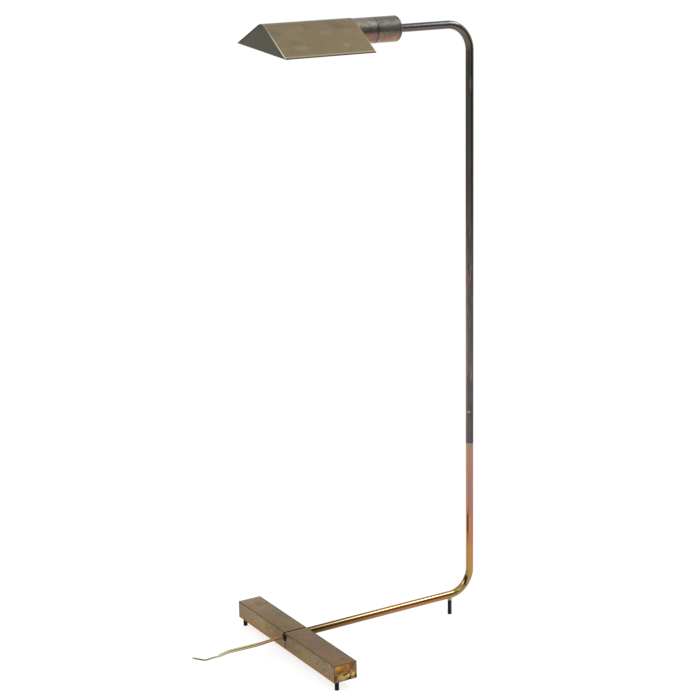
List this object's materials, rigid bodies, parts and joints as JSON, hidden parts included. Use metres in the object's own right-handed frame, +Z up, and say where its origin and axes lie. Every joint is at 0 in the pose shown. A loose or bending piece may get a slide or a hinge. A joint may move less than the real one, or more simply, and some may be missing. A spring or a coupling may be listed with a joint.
{
  "type": "floor lamp",
  "caption": "Brass floor lamp: cross-bar base, bent tube post that swivels and telescopes, and a tent shade that turns on its arm behind a rotary dimmer.",
  "frame": {"origin": "on the floor, under the middle of the lamp's length and width, without its cord", "axes": "+Z up along the post, +X from the cross bar to the post, +Y along the cross bar"},
  "size_m": [0.4857, 0.3048, 0.9895],
  "materials": {
    "bar_brass": "aged brass, brown film over a satin face",
    "bright_brass": "polished brass",
    "brown_brass": "tarnished brass with a brown film",
    "barrel_brass": "tarnished brass with purple and copper tints",
    "shade_brass": "cloudy olive-brown brass",
    "plate_brass": "dark grey-green brass",
    "bronze": "turned bronze",
    "steel": "turned steel",
    "black_rubber": "matte black",
    "black_plastic": "matte black",
    "white_plastic": "matte",
    "porcelain": "glazed",
    "gold_cord": "translucent gold sleeve",
    "wire_sleeve": "translucent gold sleeve",
    "clear_glass": "clear",
    "filament_glass": "clear stem with a tungsten wire"
  },
  "bodies": {
    "base": {"base_bar": "bar_brass", "base_tube": "bright_brass", "tube_grub_screws": "steel", "cord_bush": "black_plastic", "front_foot_studs": "bright_brass", "front_foot_sleeves": "black_rubber", "rear_foot_stud": "bright_brass", "rear_foot_sleeve": "black_rubber", "swivel_bush": "bronze", "base_wire": "wire_sleeve", "cord_free": "gold_cord", "cord_tail": "gold_cord"},
    "slide": {"inner_tube": "steel", "thrust_collar": "steel", "retaining_ring": "steel", "slide_piston": "white_plastic"},
    "upper": {"upper_tube": "brown_brass", "guide_bush": "bronze", "arm_spindle": "bright_brass", "spindle_washer": "steel", "spindle_nut": "bright_brass", "post_wire": "wire_sleeve"},
    "head": {"dimmer_body": "black_plastic", "front_barrel": "barrel_brass", "lampholder_body": "porcelain", "lampholder_shell": "bright_brass", "lampholder_contact": "bright_brass", "holder_spacers": "steel", "holder_screws": "steel", "holder_leads": "wire_sleeve", "bulb_cap": "steel", "bulb_glass": "clear_glass", "bulb_filament": "filament_glass", "shade_tent": "shade_brass", "shade_front_plate": "plate_brass", "shade_rear_plate": "plate_brass"},
    "knob": {"dimmer_knob": "barrel_brass", "dimmer_wiper": "steel"}
  },
  "joints": [
    {"name": "post_swivel", "type": "hinge", "parent": "base", "child": "slide", "pos_m": [0.1796, 0, 0.2925], "axis": [0, 0, 1], "range_deg": [-180, 180]},
    {"name": "post_slide", "type": "slide", "parent": "slide", "child": "upper", "axis": [0, 0, 1], "range_m": [0, 0.2]},
    {"name": "head_swivel", "type": "hinge", "parent": "upper", "child": "head", "pos_m": [0, 0, 0.969], "axis": [1, 0, 0], "range_deg": [-180, 170]},
    {"name": "dimmer_turn", "type": "hinge", "parent": "head", "child": "knob", "pos_m": [0.03, 0, 0.969], "axis": [-1, 0, 0], "range_deg": [0, 300]}
  ]
}
